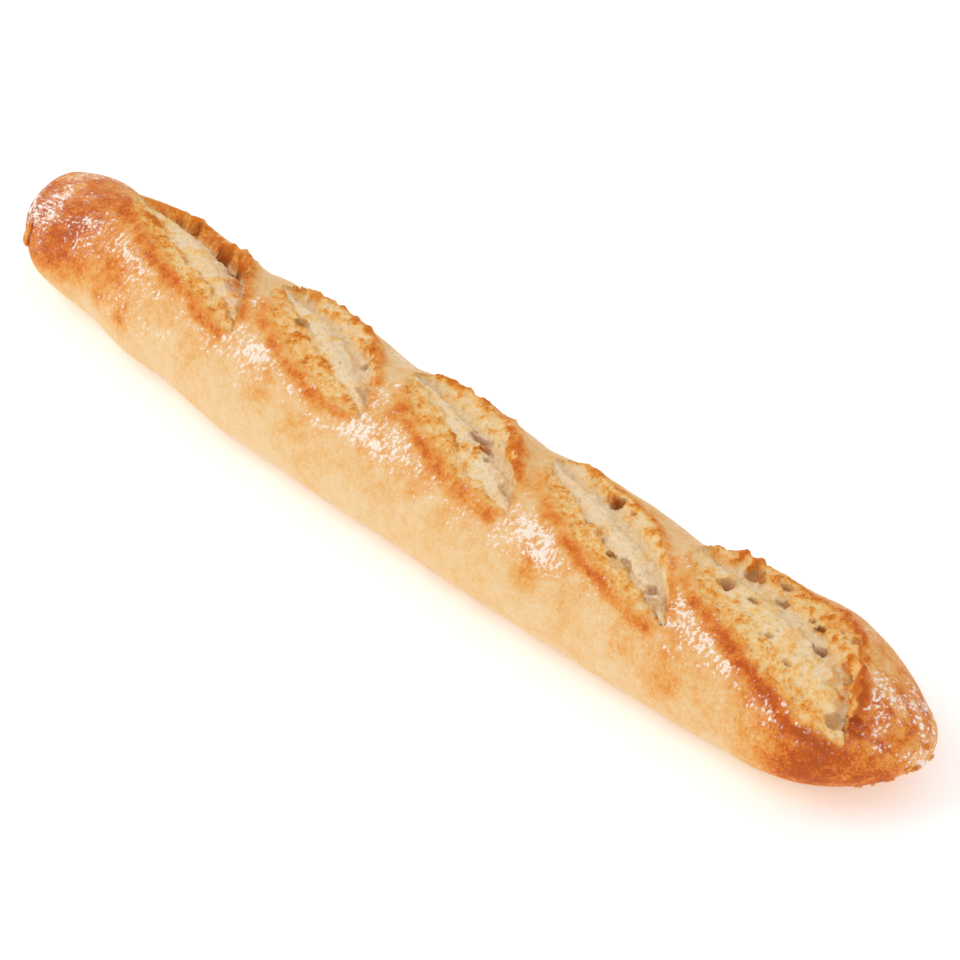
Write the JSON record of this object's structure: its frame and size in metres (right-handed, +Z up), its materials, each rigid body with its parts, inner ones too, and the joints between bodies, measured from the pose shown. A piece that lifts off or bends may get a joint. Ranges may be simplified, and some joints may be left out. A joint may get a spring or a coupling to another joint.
{
  "type": "baguette",
  "caption": "Long slim crusty bread loaf with a flat base, rounded ends and diagonal slashes torn open across the crown.",
  "frame": {"origin": "middle of the loaf's bounding box, on the surface that its flat base rests on", "axes": "+X along the loaf towards its tapered end, -Y towards the front that the middle of the loaf bows to, +Z up through the slashed crown"},
  "size_m": [0.48, 0.0798, 0.0525],
  "materials": {
    "crust": "baked crust, matte to faint satin: cream flanks, golden to red-brown crown, white flour on top, and rough golden torn crumb in the slashes"
  },
  "bodies": {
    "root": {"loaf": "crust"}
  },
  "joints": []
}
